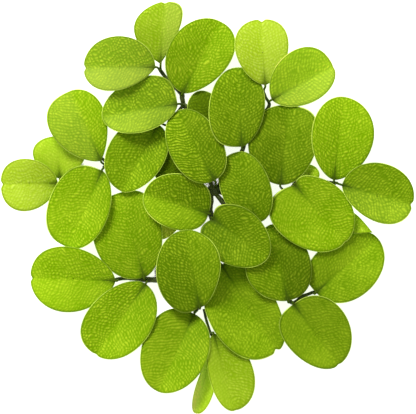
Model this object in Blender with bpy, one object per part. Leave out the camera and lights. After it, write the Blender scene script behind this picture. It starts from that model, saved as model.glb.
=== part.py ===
"""Water spangles: a small floating fern, about 82 mm across, lying on a flat surface.

Folded round leaves grow on short stalks from a branching stem. Short tufts of root-like
leaves hang below the stem and carry the plant. +X is right and +Y is up in the view from
above, and +Z points away from the surface. The origin is under the middle of the plant.
"""
import math
from dataclasses import dataclass
from enum import Enum

import bmesh
import bpy
import numpy as np
from mathutils import Vector
from mathutils.bvhtree import BVHTree

MM = 0.001
UP = Vector((0.0, 0.0, 1.0))
MIDDLE = Vector((-0.025, 0.163, 0.0))

STEM_HEIGHT = 3.2
STEM_SIDES = 6
RING_POINTS = 8
SHARP_ANGLE = 50.0
NODE_GAP = 0.3
LEAF_HEIGHT = 4.6
LEAF_GAP = 0.45
BLADE_FLOOR = 4.05
ABOVE_ALL = 60.0
STEEPNESS_COST = 1.5
BASE_COST = 0.6
PITCHES = (-0.08, -0.04, 0.0, 0.04, 0.08, 0.12, 0.16, 0.2, 0.24)
ROLLS = (-0.2, -0.15, -0.1, -0.05, 0.0, 0.05, 0.1, 0.15, 0.2)
TOP_SKIN = 0.12
UNDER_SKIN = 0.16
KEEL = 0.28
FOLD_ROUNDING = 0.8
TIP_DROOP = 0.5
STALK_RADIUS = 0.22
NECK_SETBACK = 0.3
NOTCH_WIDTH = 0.5
STATIONS = (0.02, 0.08, 0.17, 0.29, 0.43, 0.57, 0.71, 0.83, 0.92, 0.975, 0.994)
CROWN_CENTRE = (1.2, 3.3)
CROWN_RADII = (1.5, 1.25, 0.85)
CROWN_LEVELS = (-0.94, -0.6, 0.0, 0.6, 0.94)
ROUND_SIDES = 10
TUFT_PROFILE = ((0.0, 2.6), (0.45, 3.0), (1.1, 2.1), (1.7, 1.0), (2.3, 0.4))
TUFT_LENGTH = 1.2
TUFT_BREADTH = 0.75
TUFT_LEAN = 0.5


class Tone(Enum):
    """Base colours of the leaves, from the youngest to the most shaded."""

    PALE = (0.46, 0.68, 0.06)
    YOUNG = (0.36, 0.56, 0.03)
    YELLOW = (0.46, 0.50, 0.06)
    BRIGHT = (0.26, 0.46, 0.01)
    MATURE = (0.17, 0.36, 0.01)
    SHADED = (0.08, 0.18, 0.01)


@dataclass(frozen=True)
class Half:
    """One side of a leaf: its greatest width and how full it is at base and tip."""

    width: float
    base_power: float
    tip_power: float

    def reach(self, along: float) -> float:
        """Give the half width at a share of the length, 0 at the base and 1 at the tip."""
        widest = self.base_power / (self.base_power + self.tip_power)
        rise = (along / widest) ** self.base_power
        return self.width * rise * ((1 - along) / (1 - widest)) ** self.tip_power


@dataclass(frozen=True)
class Leaf:
    """A leaf as seen from above, in mm, with the stem piece that carries it."""

    base: tuple
    tip: tuple
    left: Half
    right: Half
    stem: str
    tone: Tone
    fold: float
    notch: float = 0.0
    lobe: float = 0.0
    roll: float = 0.0


@dataclass(frozen=True)
class Pose:
    """How a leaf lies: the lift of its base in mm and its slopes along and across."""

    lift: float = 0.0
    pitch: float = 0.0
    roll: float = 0.0


@dataclass(frozen=True)
class Stem:
    """A stem piece: the points it runs through, in mm, and its radius at both ends."""

    points: tuple
    start_radius: float
    end_radius: float


STEMS = {
    "north": Stem(((0.6, 5.2), (-0.6, 8.7), (-2.6, 14.9), (-3.6, 19.1), (-4.6, 20.3)), 0.5, 0.55),
    "north_tip": Stem(((-5.0, 21.7), (-5.3, 22.9), (-7.8, 25.3), (-9.3, 27.2)), 0.58, 0.38),
    "west": Stem(((-5.5, 19.4), (-7.0, 17.0), (-8.2, 14.4), (-11.6, 12.2), (-16.4, 9.5),
                  (-20.2, 8.2)), 0.42, 0.35),
    "west_tip": Stem(((-20.7, 9.4), (-21.9, 10.4), (-23.8, 10.6), (-26.0, 9.6), (-28.0, 7.3),
                      (-29.2, 4.9)), 0.33, 0.28),
    "northeast": Stem(((2.7, 4.9), (4.6, 7.7), (6.4, 10.1), (7.2, 11.7)), 0.5, 0.42),
    "northeast_tip": Stem(((7.7, 12.9), (9.6, 16.1), (11.5, 18.9), (12.4, 20.5), (11.7, 21.9),
                           (11.2, 23.1)), 0.4, 0.3),
    "east": Stem(((3.1, 2.8), (6.2, 2.1), (10.2, 0.7), (13.0, 0.7), (15.8, 2.7), (17.3, 4.3)), 0.5, 0.4),
    "east_tip": Stem(((18.3, 5.0), (20.6, 5.0), (23.0, 5.1), (25.4, 4.9)), 0.36, 0.28),
    "southeast": Stem(((2.5, 1.7), (5.0, -1.1), (8.2, -3.7), (11.0, -6.7), (14.0, -12.7),
                       (16.6, -18.9), (19.0, -17.9), (21.0, -17.1)), 0.55, 0.35),
    "south": Stem(((0.7, 1.6), (0.6, -0.9), (1.3, -3.5), (1.4, -6.7), (0.4, -11.1),
                   (-0.5, -15.7), (-1.2, -19.1), (-2.2, -20.6)), 0.6, 0.45),
    "south_tip": Stem(((-0.5, -21.3), (-0.1, -22.9), (0.8, -25.5)), 0.3, 0.25),
    "southwest": Stem(((-1.8, -15.4), (-5.4, -14.9), (-9.4, -14.6), (-12.4, -14.5),
                       (-15.4, -14.2), (-17.8, -14.4)), 0.85, 0.36),
    "crown": Stem(((0.7, 3.1), (1.8, 3.8)), 0.95, 0.95),
}

LEAVES = (
    Leaf((1.6, -26.9), (-2.4, -41.2), Half(2.4, 0.7, 0.42), Half(1.4, 1.0, 0.45),
         "south_tip", Tone.YOUNG, fold=0.5, roll=0.5),
    Leaf((1.3, -25.3), (5.7, -40.6), Half(5.65, 0.58, 0.46), Half(3.3, 0.6, 0.47),
         "south_tip", Tone.YOUNG, fold=0.34, notch=0.1, roll=-0.25),
    Leaf((-4.2, 0.3), (-9.4, -6.3), Half(1.6, 0.5, 0.5), Half(2.4, 0.5, 0.5),
         "crown", Tone.YELLOW, fold=0.3),
    Leaf((-12.6, -14.1), (-17.4, 2.9), Half(7.7, 0.45, 0.42), Half(6.35, 0.57, 0.36),
         "southwest", Tone.BRIGHT, fold=0.18),
    Leaf((-2.2, 3.3), (-10.4, 11.3), Half(4.0, 0.5, 0.5), Half(4.0, 0.5, 0.5),
         "crown", Tone.SHADED, fold=0.2),
    Leaf((3.8, 13.5), (-2.4, 22.9), Half(4.0, 0.5, 0.45), Half(3.4, 0.5, 0.5),
         "northeast_tip", Tone.SHADED, fold=0.2),
    Leaf((-29.4, 5.7), (-29.9, 14.2), Half(5.1, 0.66, 0.42), Half(5.4, 0.7, 0.57),
         "west_tip", Tone.YOUNG, fold=0.2, notch=0.1),
    Leaf((-29.8, 4.7), (-41.25, 4.5), Half(5.45, 0.6, 0.42), Half(5.05, 0.55, 0.42),
         "west_tip", Tone.PALE, fold=0.22, notch=0.4),
    Leaf((19.8, 4.9), (20.5, 8.5), Half(2.3, 0.45, 0.5), Half(2.3, 0.45, 0.5),
         "east_tip", Tone.YOUNG, fold=0.2),
    Leaf((21.7, -17.1), (33.95, -6.1), Half(5.9, 0.3, 0.48), Half(6.65, 0.45, 0.48),
         "southeast", Tone.MATURE, fold=0.16),
    Leaf((25.6, -2.9), (33.0, -5.1), Half(2.95, 0.35, 1.1), Half(1.6, 0.35, 1.1),
         "east_tip", Tone.YOUNG, fold=0.2, roll=-0.1),
    Leaf((2.8, -11.5), (13.95, -28.95), Half(5.6, 0.33, 0.46), Half(8.3, 0.4, 0.38),
         "south", Tone.MATURE, fold=0.26, notch=0.6),
    Leaf((16.1, -18.7), (12.6, -3.5), Half(6.95, 0.6, 0.7), Half(6.2, 0.4, 0.5),
         "southeast", Tone.MATURE, fold=0.26),
    Leaf((17.2, -19.3), (26.3, -31.6), Half(7.05, 0.4, 0.48), Half(5.95, 0.3, 0.48),
         "southeast", Tone.MATURE, fold=0.14, notch=0.2),
    Leaf((14.6, 4.4), (16.2, 20.3), Half(7.3, 0.5, 0.45), Half(6.6, 0.5, 0.3),
         "east", Tone.MATURE, fold=0.16),
    Leaf((17.4, 4.5), (27.5, -7.2), Half(6.3, 0.5, 0.5), Half(8.6, 0.18, 0.43),
         "east", Tone.BRIGHT, fold=0.14, notch=0.2, lobe=1.1),
    Leaf((9.8, -3.3), (5.9, 11.0), Half(5.2, 0.5, 0.38), Half(4.75, 0.4, 0.48),
         "southeast", Tone.MATURE, fold=0.22),
    Leaf((1.1, -2.3), (12.1, -10.2), Half(5.6, 0.35, 0.55), Half(6.1, 0.28, 0.5),
         "south", Tone.MATURE, fold=0.3, lobe=1.0),
    Leaf((0.3, -1.3), (-12.7, 2.5), Half(5.0, 0.4, 0.48), Half(6.2, 0.36, 0.46),
         "south", Tone.MATURE, fold=0.32),
    Leaf((-21.0, 7.3), (-27.7, -8.1), Half(4.9, 0.6, 0.5), Half(7.3, 0.32, 0.34),
         "west", Tone.BRIGHT, fold=0.22),
    Leaf((-21.2, 9.2), (-27.4, 23.2), Half(6.85, 0.66, 0.38), Half(4.7, 0.85, 0.52),
         "west", Tone.BRIGHT, fold=0.16),
    Leaf((-9.8, 16.5), (-17.0, 3.0), Half(4.7, 0.5, 0.65), Half(6.7, 0.45, 0.43),
         "west", Tone.MATURE, fold=0.24),
    Leaf((1.5, 5.3), (-6.1, 19.1), Half(5.4, 0.42, 0.46), Half(5.2, 0.42, 0.46),
         "crown", Tone.MATURE, fold=0.26),
    Leaf((6.9, 12.0), (6.1, 27.9), Half(6.3, 0.3, 0.45), Half(5.1, 0.66, 0.5),
         "northeast", Tone.MATURE, fold=0.26),
    Leaf((-5.9, 20.5), (-21.0, 17.9), Half(4.4, 0.62, 0.52), Half(6.6, 0.28, 0.52),
         "north", Tone.MATURE, fold=0.32),
    Leaf((-9.3, 28.6), (-8.4, 41.1), Half(5.8, 0.87, 0.75), Half(3.75, 1.0, 0.27),
         "north_tip", Tone.YOUNG, fold=0.38, notch=0.4),
    Leaf((-4.9, 22.7), (2.6, 37.1), Half(6.8, 0.46, 0.5), Half(5.6, 0.7, 0.42),
         "north_tip", Tone.BRIGHT, fold=0.22),
    Leaf((-10.3, 27.8), (-24.7, 27.7), Half(4.7, 0.8, 0.48), Half(6.3, 0.5, 0.48),
         "north_tip", Tone.BRIGHT, fold=0.32, notch=0.4),
    Leaf((11.55, 24.3), (10.85, 37.5), Half(5.7, 0.64, 0.42), Half(5.1, 0.68, 0.42),
         "northeast_tip", Tone.PALE, fold=0.34, notch=0.5),
    Leaf((12.9, 21.4), (25.3, 28.0), Half(6.6, 0.52, 0.38), Half(4.3, 0.62, 0.52),
         "northeast_tip", Tone.BRIGHT, fold=0.32, notch=0.1),
    Leaf((25.3, 5.4), (27.2, 22.0), Half(5.6, 0.62, 0.5), Half(6.95, 0.62, 0.5),
         "east_tip", Tone.BRIGHT, fold=0.2),
    Leaf((26.8, 4.4), (41.0, 0.4), Half(6.4, 0.48, 0.46), Half(5.3, 0.66, 0.42),
         "east_tip", Tone.MATURE, fold=0.36, notch=0.4),
    Leaf((-2.6, -21.3), (-9.8, -36.7), Half(6.2, 0.48, 0.55), Half(7.1, 0.34, 0.45),
         "south", Tone.BRIGHT, fold=0.24),
    Leaf((-1.5, -19.9), (-4.6, -4.5), Half(7.3, 0.33, 0.45), Half(5.9, 0.8, 0.62),
         "south", Tone.MATURE, fold=0.24, lobe=1.0),
    Leaf((-18.3, -14.7), (-35.35, -14.2), Half(6.6, 0.66, 0.52), Half(6.6, 0.62, 0.42),
         "southwest", Tone.BRIGHT, fold=0.22, notch=0.4),
    Leaf((-12.3, -15.3), (-22.3, -29.5), Half(6.45, 0.48, 0.5), Half(6.35, 0.55, 0.36),
         "southwest", Tone.BRIGHT, fold=0.26, notch=0.2),
)

TUFTS = (
    ((1.2, 3.3), 100.0),
    ((-2.4, 14.2), 60.0),
    ((-7.2, 24.4), 50.0),
    ((-14.6, 10.8), 150.0),
    ((-26.6, 9.6), 110.0),
    ((4.8, 8.0), 330.0),
    ((10.2, 16.6), 60.0),
    ((20.6, 2.4), 0.0),
    ((15.0, -14.6), 300.0),
    ((-1.0, -17.0), 100.0),
    ((-9.6, -13.4), 20.0),
)


def clear_scene() -> None:
    """Remove every object, so that the model is alone in the file."""
    for item in list(bpy.data.objects):
        bpy.data.objects.remove(item, do_unlink=True)


def make_material(name: str, colour: tuple, roughness: float) -> bpy.types.Material:
    """Make a plain Principled material.

    Args:
        name: The material's name.
        colour: Base colour, linear red, green and blue.
        roughness: Surface roughness from 0 to 1.

    Returns:
        The new material.
    """
    material = bpy.data.materials.new(name)
    material.use_nodes = True
    shader = material.node_tree.nodes["Principled BSDF"]
    shader.inputs["Base Color"].default_value = (*colour, 1.0)
    shader.inputs["Roughness"].default_value = roughness
    shader.inputs["Metallic"].default_value = 0.0
    return material


def loft(name: str, rings: list, material: bpy.types.Material) -> bpy.types.Object:
    """Join rings of points into one closed solid with flat ends.

    Args:
        name: Name of the new object.
        rings: Lists of points in mm, all of the same length.
        material: Material of the whole solid.

    Returns:
        The new object.
    """
    mesh = bmesh.new()
    rows = [[mesh.verts.new((point + MIDDLE) * MM) for point in ring] for ring in rings]
    count = len(rows[0])
    for near, far in zip(rows, rows[1:]):
        for i in range(count):
            j = (i + 1) % count
            mesh.faces.new((near[i], near[j], far[j], far[i]))
    mesh.faces.new(rows[0])
    mesh.faces.new(rows[-1])
    bmesh.ops.recalc_face_normals(mesh, faces=mesh.faces)
    bmesh.ops.triangulate(mesh, faces=mesh.faces)
    data = bpy.data.meshes.new(name)
    mesh.to_mesh(data)
    mesh.free()
    data.materials.append(material)
    piece = bpy.data.objects.new(name, data)
    bpy.context.scene.collection.objects.link(piece)
    data.shade_smooth()
    data.set_sharp_from_angle(angle=math.radians(SHARP_ANGLE))
    return piece


def section(centre: Vector, heading: Vector, left: Vector, radius: float,
            sides: int = RING_POINTS) -> list:
    """Give the points round a stalk, from its left side over its top."""
    top = heading.cross(left).normalized()
    turns = (i * math.tau / sides for i in range(sides))
    return [centre + radius * (math.cos(turn) * left + math.sin(turn) * top) for turn in turns]


def curve_points(points: tuple, steps: int) -> list:
    """Round a chain of plan points off with a Catmull-Rom curve at stem height."""
    chain = [Vector((x, y, STEM_HEIGHT)) for x, y in points]
    padded = [2 * chain[0] - chain[1], *chain, 2 * chain[-1] - chain[-2]]
    route = []
    for before, start, end, after in zip(padded, padded[1:], padded[2:], padded[3:]):
        for step in range(steps):
            t = step / steps
            slope_in = (end - before) / 2
            slope_out = (after - start) / 2
            route.append((2 * t ** 3 - 3 * t ** 2 + 1) * start + (t ** 3 - 2 * t ** 2 + t) * slope_in
                         + (3 * t ** 2 - 2 * t ** 3) * end + (t ** 3 - t ** 2) * slope_out)
    route.append(chain[-1])
    return route


def stem_radius(stem: Stem, share: float) -> float:
    """Give a stem's radius at a share of its length."""
    return stem.start_radius + (stem.end_radius - stem.start_radius) * share


def stem_anchor(stem: Stem, place: Vector) -> tuple:
    """Find the point of a stem's centre line nearest to a place seen from above.

    Returns:
        The point, in mm, and the stem's radius there.
    """
    route = curve_points(stem.points, 8)
    flat = Vector((place.x, place.y, STEM_HEIGHT))
    best = min(range(len(route)), key=lambda i: (route[i] - flat).length)
    return route[best], stem_radius(stem, best / (len(route) - 1))


def build_stem(name: str, stem: Stem, material: bpy.types.Material) -> bpy.types.Object:
    """Build a stem piece as a tapered tube."""
    route = curve_points(stem.points, 2)
    rings = []
    for i, centre in enumerate(route):
        ahead = (route[min(i + 1, len(route) - 1)] - route[max(i - 1, 0)]).normalized()
        radius = stem_radius(stem, i / (len(route) - 1))
        rings.append(section(centre, ahead, UP.cross(ahead), radius, STEM_SIDES))
    return loft(name, rings, material)


def build_crown(material: bpy.types.Material) -> bpy.types.Object:
    """Build the swollen middle of the stem, from which its branches leave."""
    centre = Vector((*CROWN_CENTRE, STEM_HEIGHT))
    rings = []
    for level in CROWN_LEVELS:
        spread = math.sqrt(1 - level * level)
        turns = (i * math.tau / ROUND_SIDES for i in range(ROUND_SIDES))
        rings.append([centre + Vector((CROWN_RADII[0] * spread * math.cos(turn),
                                       CROWN_RADII[1] * spread * math.sin(turn),
                                       CROWN_RADII[2] * level)) for turn in turns])
    return loft("stem_crown", rings, material)


def leaf_axes(leaf: Leaf) -> tuple:
    """Give a leaf's base, length, heading and left direction, all level."""
    base = Vector((*leaf.base, 0.0))
    span = Vector((*leaf.tip, 0.0)) - base
    heading = span.normalized()
    return base, span.length, heading, UP.cross(heading)


def leaf_point(leaf: Leaf, along: float, side: float, pose: Pose) -> Vector:
    """Give a point of a leaf's middle surface.

    Args:
        leaf: The leaf.
        along: Share of the length, 0 at the base and 1 at the tip.
        side: Share of the half width, from -1 at the right margin to 1 at the left.
        pose: How the leaf lies on its neighbours.

    Returns:
        The point in mm.
    """
    base, length, heading, left = leaf_axes(leaf)
    half = leaf.left if side > 0 else leaf.right
    across = side * half.reach(along)
    bay = leaf.notch * math.exp(-(across / NOTCH_WIDTH) ** 2) if along > 0.5 else 0.0
    ear = leaf.lobe * math.sin(math.pi * min(1.0, abs(across) / half.width)) * (1 - along) ** 6
    forward = along * length - bay - ear
    rise = leaf.fold * (math.hypot(across, FOLD_ROUNDING) - FOLD_ROUNDING) - TIP_DROOP * along ** 3
    slope = pose.pitch * forward + (pose.roll + leaf.roll) * across
    return base + heading * forward + left * across + UP * (LEAF_HEIGHT + pose.lift + rise + slope)


def leaf_rings(leaf: Leaf, pose: Pose) -> list:
    """Give the rings of a leaf: its stalk from the stem up, then the blade out to the tip."""
    base, _, heading, left = leaf_axes(leaf)
    neck = base - heading * NECK_SETBACK + UP * (LEAF_HEIGHT + pose.lift)
    anchor, radius = stem_anchor(STEMS[leaf.stem], neck)
    climb = (neck - anchor).normalized()
    foot = anchor + climb * (radius + NODE_GAP)
    side = (left - climb * left.dot(climb)).normalized()
    rings = [section(foot, climb, side, STALK_RADIUS)]
    rings.append(section(neck, (climb + heading).normalized(), left, STALK_RADIUS))
    for along in STATIONS:
        thin = min(1.0, 4 * along, 8 * (1 - along) + 0.4)
        row = [leaf_point(leaf, along, share, pose) for share in (1.0, 0.5, 0.0, -0.5, -1.0)]
        upper = [point + UP * TOP_SKIN * thin for point in row[1:4]]
        under = [row[3] - UP * UNDER_SKIN * thin, row[2] - UP * KEEL * thin, row[1] - UP * UNDER_SKIN * thin]
        rings.append([row[0], *upper, row[4], *under])
    return rings


def blade_spots(rings: list) -> list:
    """Spread points evenly over the underside of a blade."""
    spots = []
    blade = rings[2:]
    for near, far in zip(blade, blade[1:]):
        for part in range(4):
            row = [near[i].lerp(far[i], part / 4) for i in (0, 7, 6, 5, 4)]
            for one, two in zip(row, row[1:]):
                spots.extend(one.lerp(two, step / 4) for step in range(5))
    return spots


def settle(leaf: Leaf, pile: BVHTree) -> Pose:
    """Find the lowest way for a leaf to lie on the leaves that are already in the pile.

    Args:
        leaf: The leaf to place.
        pile: Search tree of the leaves below.

    Returns:
        The pose with the least height and slope.
    """
    base, _, heading, left = leaf_axes(leaf)
    spots = blade_spots(leaf_rings(leaf, Pose()))
    forward = np.array([(spot - base).dot(heading) for spot in spots])
    across = np.array([(spot - base).dot(left) for spot in spots])
    needs = np.array([BLADE_FLOOR - spot.z for spot in spots])
    for i, spot in enumerate(spots):
        hit = pile.ray_cast(Vector((spot.x, spot.y, ABOVE_ALL)), -UP)[0]
        if hit is not None:
            needs[i] = max(needs[i], hit.z + LEAF_GAP - spot.z)
    best = None
    for pitch in PITCHES:
        for roll in ROLLS:
            slopes = pitch * forward + roll * across
            lift = max(0.0, float((needs - slopes).max()))
            cost = (1 + BASE_COST) * lift + float(slopes.mean()) + STEEPNESS_COST * (abs(pitch) + abs(roll))
            if best is None or cost < best[0]:
                best = (cost, Pose(lift, pitch, roll))
    return best[1]


def pile_tree(leaves: list) -> BVHTree:
    """Make a search tree of the faces of several leaves, each given as rings."""
    points = []
    faces = []
    for rings in leaves:
        start = len(points)
        points.extend(point for ring in rings for point in ring)
        for row in range(len(rings) - 1):
            near = start + row * RING_POINTS
            far = near + RING_POINTS
            for i in range(RING_POINTS):
                j = (i + 1) % RING_POINTS
                faces.append((near + i, near + j, far + j, far + i))
    return BVHTree.FromPolygons(points, faces)


def build_leaves(materials: dict) -> None:
    """Build the leaves from the bottom of the pile to its top."""
    placed = []
    for number, leaf in enumerate(LEAVES, start=1):
        pose = settle(leaf, pile_tree(placed))
        placed.append(leaf_rings(leaf, pose))
        loft(f"leaf_{number:02d}", placed[-1], materials[leaf.tone])


def build_tuft(number: int, place: tuple, turn: float, material: bpy.types.Material) -> bpy.types.Object:
    """Build a root tuft: a low tapering clump that spreads out on the surface.

    Args:
        number: Number of the tuft in its name.
        place: Plan position in mm.
        turn: Heading of its longer side, in degrees.
        material: Material of the clump.

    Returns:
        The new object.
    """
    ahead = Vector((math.cos(math.radians(turn)), math.sin(math.radians(turn)), 0.0))
    left = UP.cross(ahead)
    rings = []
    top = TUFT_PROFILE[-1][0]
    for height, reach in TUFT_PROFILE:
        turns = (i * math.tau / ROUND_SIDES for i in range(ROUND_SIDES))
        middle = Vector((*place, height)) + ahead * (top - height) * TUFT_LEAN
        rings.append([middle + ahead * reach * TUFT_LENGTH * math.cos(angle)
                      + left * reach * TUFT_BREADTH * math.sin(angle) for angle in turns])
    return loft(f"root_tuft_{number:02d}", rings, material)


def main() -> None:
    """Build the whole plant."""
    clear_scene()
    stem_material = make_material("stem", (0.035, 0.05, 0.006), 0.6)
    root_material = make_material("roots", (0.10, 0.08, 0.03), 0.8)
    leaf_materials = {tone: make_material(f"leaf_{tone.name.lower()}", tone.value, 0.45) for tone in Tone}
    build_crown(stem_material)
    for name, stem in STEMS.items():
        if name != "crown":
            build_stem(f"stem_{name}", stem, stem_material)
    for number, (place, turn) in enumerate(TUFTS, start=1):
        build_tuft(number, place, turn, root_material)
    build_leaves(leaf_materials)


if __name__ == "__main__":
    main()
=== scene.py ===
"""The looks of water spangles, a small floating fern, dressed over its solid model.

Each leaf is a thin closed blade with quilted bumps, a midrib and a stalk. Stems, crown and root
tufts are built round the same lines as the solids. Sizes are in mm until a mesh is made, and in
metres in the studio.
"""
import logging
import math
from dataclasses import dataclass
from enum import Enum

import bpy
import numpy as np
from bpy.types import Material, Mesh, NodeSocket, Object
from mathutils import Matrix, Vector
from numpy import ndarray as Array


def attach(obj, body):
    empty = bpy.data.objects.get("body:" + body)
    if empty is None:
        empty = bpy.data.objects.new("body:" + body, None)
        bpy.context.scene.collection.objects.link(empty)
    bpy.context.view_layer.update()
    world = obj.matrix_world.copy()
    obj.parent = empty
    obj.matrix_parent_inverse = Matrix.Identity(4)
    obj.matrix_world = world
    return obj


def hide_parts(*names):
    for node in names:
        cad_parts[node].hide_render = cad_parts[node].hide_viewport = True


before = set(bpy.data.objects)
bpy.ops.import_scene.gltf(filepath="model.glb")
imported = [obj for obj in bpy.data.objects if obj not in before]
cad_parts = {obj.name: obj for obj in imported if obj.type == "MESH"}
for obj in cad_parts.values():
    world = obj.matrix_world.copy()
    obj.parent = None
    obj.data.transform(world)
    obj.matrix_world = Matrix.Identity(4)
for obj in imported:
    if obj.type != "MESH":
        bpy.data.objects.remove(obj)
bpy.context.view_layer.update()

MM = 0.001
BODY = "root"
UP = np.array((0.0, 0.0, 1.0))
TINY = 1e-6

# The plant's middle and the form that its leaves share, as in the solids.
MIDDLE = np.array((-0.025, 0.163, 0.0))
STEM_HEIGHT = 3.2
LEAF_HEIGHT = 4.6
FOLD_ROUNDING = 0.8
TIP_DROOP = 0.5
NOTCH_WIDTH = 0.5
LOBE_POWER = 6
NECK_SETBACK = 0.3

# Shares of a leaf's length where its solid is read, and where the points of its midrib lie.
POSE_STATIONS = (0.08, 0.17, 0.29, 0.43, 0.57, 0.71, 0.83, 0.92)
MIDRIB_STATIONS = (0.03, 0.12, 0.25, 0.4, 0.55, 0.7, 0.82)

# What a stalk tells the leaf material, besides how woody it is.
STALK_FACTS = {"crest": 0.1, "margin": 1.0, "rib": 0.0, "along": 0.1, "under": 0.0,
               "tone_and_painted_light": 1.0, "painted_sheen": 0.0}

# Uneven numbers that make scattered shares look random.
SCATTER_TURN = 12.9898
SCATTER_SPREAD = 43758.5453
COLUMN_KEY = 1.37
LINE_KEY = 7.91
ROW_KEY = 7.31
BUMP_ROW_KEY = 3.7
BUMP_KEY = 1.93

# Places of the sockets of a Mix node that mixes colours.
MIX_SHARE, MIX_FIRST, MIX_SECOND, MIX_RESULT = 0, 6, 7, 2

WHITE = (1.0, 1.0, 1.0)
MIDRIB_AND_SHADE_COLOUR = (0.07, 0.17, 0.004)
UNDER_COLOUR = (0.28, 0.42, 0.05)
# Whitish colour of the painted sheen on the lit halves of some leaves.
PAINTED_SHEEN_COLOUR = (0.62, 0.68, 0.14)
PALE_RIM_AND_HIGHLIGHT = (0.70, 0.92, 0.11)
DARK_RIM = (0.05, 0.09, 0.002)
WOODY_COLOUR = (0.04, 0.06, 0.005)
BRIGHTEST = 0.95

log = logging.getLogger("water_spangles")


class Tone(Enum):
    """The material slots of the leaves, from the youngest leaf to the most shaded."""

    PALE = "leaf_pale"
    YOUNG = "leaf_young"
    YELLOW = "leaf_yellow"
    BRIGHT = "leaf_bright"
    MATURE = "leaf_mature"
    SHADED = "leaf_shaded"


@dataclass(frozen=True)
class Half:
    """One side of a leaf: its greatest width in mm and how full it is at base and tip."""

    width: float
    base_power: float
    tip_power: float

    def reach(self, along: Array) -> Array:
        """Give the half width at shares of the length, 0 at the base and 1 at the tip."""
        widest = self.base_power / (self.base_power + self.tip_power)
        return (self.width * (along / widest) ** self.base_power
                * ((1 - along) / (1 - widest)) ** self.tip_power)


@dataclass(frozen=True)
class Leaf:
    """A leaf as seen from above, in mm, with its stem piece and its looks.

    The fold is the slope at which both sides rise from the midrib. The notch is the depth of the
    bay in its tip, and the lobe is how far its sides reach back beside the stalk. The last four
    values are pairs, for its left and its right half: how far its colour is brightened or
    darkened, mostly painted light and shade and partly its own tone, how far its bumps run
    together, how strong they are, and how much painted sheen it has.
    """

    base: tuple
    tip: tuple
    left: Half
    right: Half
    stem: str
    tone: Tone
    fold: float
    notch: float = 0.0
    lobe: float = 0.0
    tone_and_painted_light: tuple = (1.0, 1.0)
    streaks: tuple = (0.1, 0.1)
    relief: tuple = (1.0, 1.0)
    painted_sheen: tuple = (0.0, 0.0)


@dataclass(frozen=True)
class Stem:
    """A stem piece: the points it runs through, in mm, and its radius at both ends."""

    points: tuple
    start_radius: float
    end_radius: float


# The stem pieces from the crown outwards.
STEMS = {
    "north": Stem(((0.6, 5.2), (-0.6, 8.7), (-2.6, 14.9), (-3.6, 19.1), (-4.6, 20.3)), 0.5, 0.55),
    "north_tip": Stem(((-5.0, 21.7), (-5.3, 22.9), (-7.8, 25.3), (-9.3, 27.2)), 0.58, 0.38),
    "west": Stem(((-5.5, 19.4), (-7.0, 17.0), (-8.2, 14.4), (-11.6, 12.2), (-16.4, 9.5),
                  (-20.2, 8.2)), 0.42, 0.35),
    "west_tip": Stem(((-20.7, 9.4), (-21.9, 10.4), (-23.8, 10.6), (-26.0, 9.6), (-28.0, 7.3),
                      (-29.2, 4.9)), 0.33, 0.28),
    "northeast": Stem(((2.7, 4.9), (4.6, 7.7), (6.4, 10.1), (7.2, 11.7)), 0.5, 0.42),
    "northeast_tip": Stem(((7.7, 12.9), (9.6, 16.1), (11.5, 18.9), (12.4, 20.5), (11.7, 21.9),
                           (11.2, 23.1)), 0.4, 0.3),
    "east": Stem(((3.1, 2.8), (6.2, 2.1), (10.2, 0.7), (13.0, 0.7), (15.8, 2.7),
                  (17.3, 4.3)), 0.5, 0.4),
    "east_tip": Stem(((18.3, 5.0), (20.6, 5.0), (23.0, 5.1), (25.4, 4.9)), 0.36, 0.28),
    "southeast": Stem(((2.5, 1.7), (5.0, -1.1), (8.2, -3.7), (11.0, -6.7), (14.0, -12.7),
                       (16.6, -18.9), (19.0, -17.9), (21.0, -17.1)), 0.55, 0.35),
    "south": Stem(((0.7, 1.6), (0.6, -0.9), (1.3, -3.5), (1.4, -6.7), (0.4, -11.1),
                   (-0.5, -15.7), (-1.2, -19.1), (-2.2, -20.6)), 0.6, 0.45),
    "south_tip": Stem(((-0.5, -21.3), (-0.1, -22.9), (0.8, -25.5)), 0.3, 0.25),
    "southwest": Stem(((-1.8, -15.4), (-5.4, -14.9), (-9.4, -14.6), (-12.4, -14.5),
                       (-15.4, -14.2), (-17.8, -14.4)), 0.85, 0.36),
    "crown": Stem(((0.7, 3.1), (1.8, 3.8)), 0.95, 0.95),
}

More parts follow.
